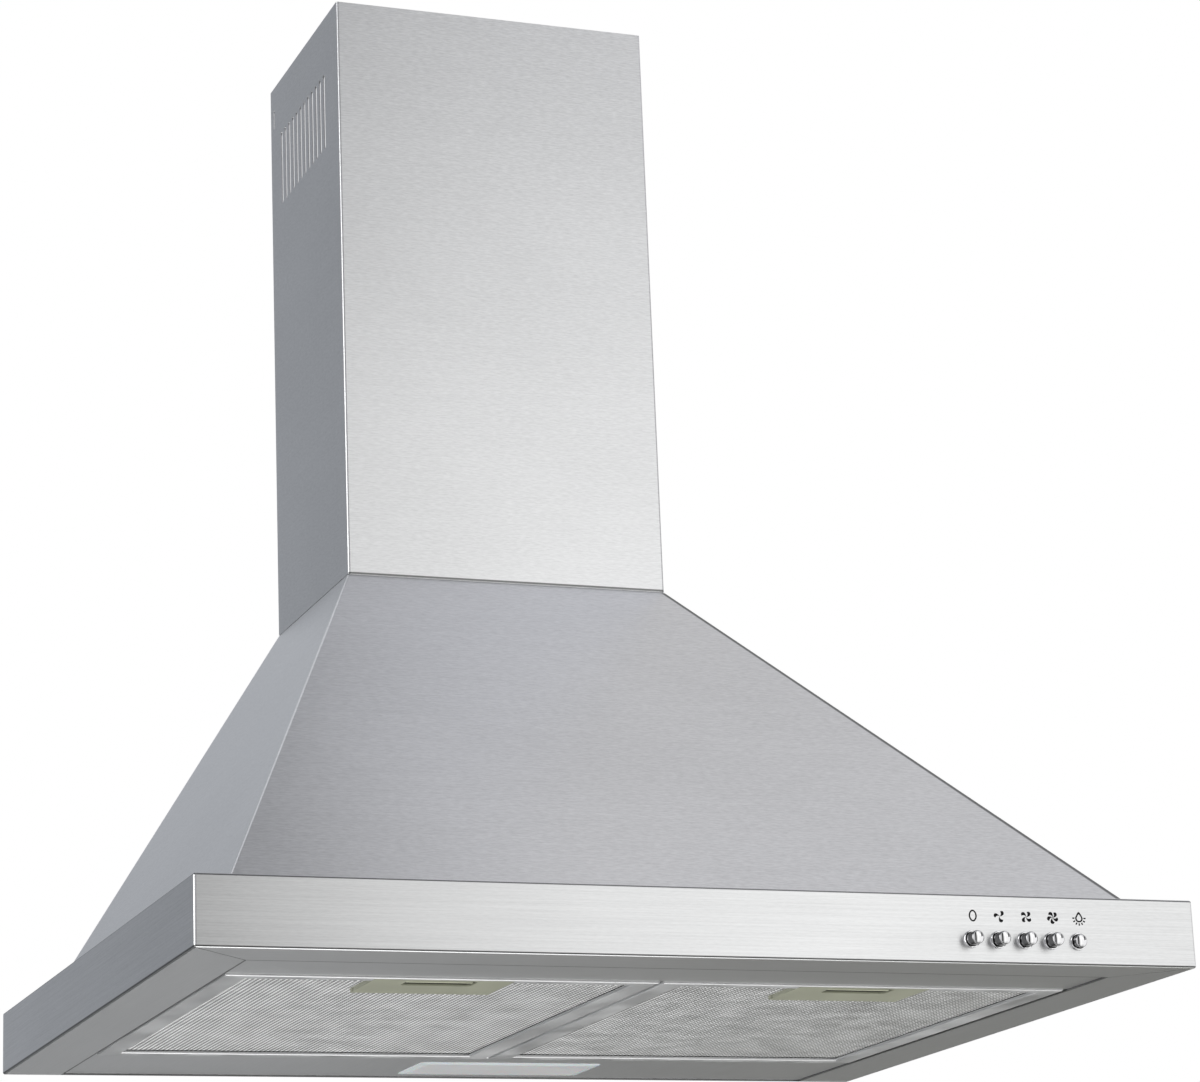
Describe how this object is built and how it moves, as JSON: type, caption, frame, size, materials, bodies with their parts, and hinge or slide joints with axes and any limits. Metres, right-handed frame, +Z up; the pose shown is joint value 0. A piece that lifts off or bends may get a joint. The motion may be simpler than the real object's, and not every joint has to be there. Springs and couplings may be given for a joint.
{
  "type": "wall mount range hood",
  "caption": "Pyramid wall range hood with folded stainless rim, rectangular vented chimney, drop-down mesh grease filters, lamp, push buttons and a centrifugal blower.",
  "frame": {"origin": "middle of the four wall screw holes, on the wall plane", "axes": "+X to the viewer's right, +Y into the wall, +Z up"},
  "size_m": [0.6, 0.5093, 0.705],
  "materials": {
    "stainless": "brushed, grain along the width",
    "galvanised": "dull galvanised sheet",
    "aluminium": "mill finish",
    "chrome": "polished",
    "spring_steel": "plain",
    "handle_plastic": "satin moulded",
    "lens_plastic": "frosted milky",
    "dark_plastic": "moulded",
    "grey_plastic": "moulded",
    "white_plastic": "moulded",
    "motor_paint": "satin paint",
    "bulb_glass": "frosted",
    "screw_steel": "zinc plated"
  },
  "bodies": {
    "hood_body": {"rim_frame": "stainless", "pyramid_front": "stainless", "pyramid_left": "stainless", "pyramid_right": "stainless", "cap_plate": "stainless", "base_panel": "stainless", "chimney_cover": "stainless", "back_panel": "galvanised", "lamp_housing": "galvanised", "blower_housing": "galvanised", "inlet_rings": "galvanised", "blower_side_left": "galvanised", "blower_side_right": "galvanised", "motor_bracket": "galvanised", "chimney_screws": "screw_steel", "outlet_screws": "screw_steel", "bracket_screws": "screw_steel", "switch_screws": "screw_steel", "motor_bearings": "screw_steel", "outlet_collar": "dark_plastic", "motor": "motor_paint", "terminal_box": "dark_plastic", "terminal_cover": "grey_plastic", "capacitor": "white_plastic", "cable_gland": "dark_plastic", "lamp_lens": "lens_plastic", "lamp_socket": "white_plastic", "lamp_bulb": "bulb_glass", "switch_housing": "dark_plastic", "switch_cover": "grey_plastic", "button_bezels": "chrome", "button_spring_off": "spring_steel", "button_spring_speed_1": "spring_steel", "button_spring_speed_2": "spring_steel", "button_spring_speed_3": "spring_steel", "button_spring_light": "spring_steel", "filter_catch_left": "spring_steel", "filter_catch_right": "spring_steel"},
    "off_button": {"button_off": "chrome"},
    "speed_1_button": {"button_speed_1": "chrome"},
    "speed_2_button": {"button_speed_2": "chrome"},
    "speed_3_button": {"button_speed_3": "chrome"},
    "light_button": {"button_light": "chrome"},
    "filter_left": {"filter_frame_left": "aluminium", "filter_mesh_left": "aluminium", "latch_handle_left": "handle_plastic", "latch_spring_left": "spring_steel"},
    "latch_left": {"latch_slider_left": "handle_plastic"},
    "filter_right": {"filter_frame_right": "aluminium", "filter_mesh_right": "aluminium", "latch_handle_right": "handle_plastic", "latch_spring_right": "spring_steel"},
    "latch_right": {"latch_slider_right": "handle_plastic"},
    "damper_front": {"damper_flap_front": "dark_plastic"},
    "damper_rear": {"damper_flap_rear": "dark_plastic"},
    "rotor": {"impeller": "grey_plastic", "impeller_blades": "grey_plastic", "impeller_rings": "grey_plastic", "motor_shaft": "screw_steel"}
  },
  "joints": [
    {"name": "off_press", "type": "slide", "parent": "hood_body", "child": "off_button", "axis": [0, 1, 0], "range_m": [0, 0.0045], "stiffness_N_per_m": 300, "springref_m": -0.004, "deforming": ["button_spring_off"]},
    {"name": "speed_1_press", "type": "slide", "parent": "hood_body", "child": "speed_1_button", "axis": [0, 1, 0], "range_m": [0, 0.0045], "stiffness_N_per_m": 300, "springref_m": -0.004, "deforming": ["button_spring_speed_1"]},
    {"name": "speed_2_press", "type": "slide", "parent": "hood_body", "child": "speed_2_button", "axis": [0, 1, 0], "range_m": [0, 0.0045], "stiffness_N_per_m": 300, "springref_m": -0.004, "deforming": ["button_spring_speed_2"]},
    {"name": "speed_3_press", "type": "slide", "parent": "hood_body", "child": "speed_3_button", "axis": [0, 1, 0], "range_m": [0, 0.0045], "stiffness_N_per_m": 300, "springref_m": -0.004, "deforming": ["button_spring_speed_3"]},
    {"name": "light_press", "type": "slide", "parent": "hood_body", "child": "light_button", "axis": [0, 1, 0], "range_m": [-0.0045, 0], "deforming": ["button_spring_light"]},
    {"name": "filter_left_drop", "type": "hinge", "parent": "hood_body", "child": "filter_left", "pos_m": [-0.13025, -0.09, -0.1975], "axis": [1, 0, 0], "range_deg": [0, 75], "deforming": ["filter_catch_left"]},
    {"name": "latch_left_pull", "type": "slide", "parent": "filter_left", "child": "latch_left", "axis": [0, 1, 0], "range_m": [0, 0.0065], "stiffness_N_per_m": 300, "springref_m": -0.004, "deforming": ["latch_spring_left"]},
    {"name": "filter_right_drop", "type": "hinge", "parent": "hood_body", "child": "filter_right", "pos_m": [0.13025, -0.09, -0.1975], "axis": [1, 0, 0], "range_deg": [0, 75], "deforming": ["filter_catch_right"]},
    {"name": "latch_right_pull", "type": "slide", "parent": "filter_right", "child": "latch_right", "axis": [0, 1, 0], "range_m": [0, 0.0065], "stiffness_N_per_m": 300, "springref_m": -0.004, "deforming": ["latch_spring_right"]},
    {"name": "damper_front_swing", "type": "hinge", "parent": "hood_body", "child": "damper_front", "pos_m": [0, -0.0885, 0.125], "axis": [-1, 0, 0], "range_deg": [0, 80]},
    {"name": "damper_rear_swing", "type": "hinge", "parent": "hood_body", "child": "damper_rear", "pos_m": [0, -0.0785, 0.125], "axis": [1, 0, 0], "range_deg": [0, 80]},
    {"name": "impeller_spin", "type": "hinge", "parent": "hood_body", "child": "rotor", "pos_m": [0, -0.1335, -0.016], "axis": [1, 0, 0], "continuous": true}
  ]
}
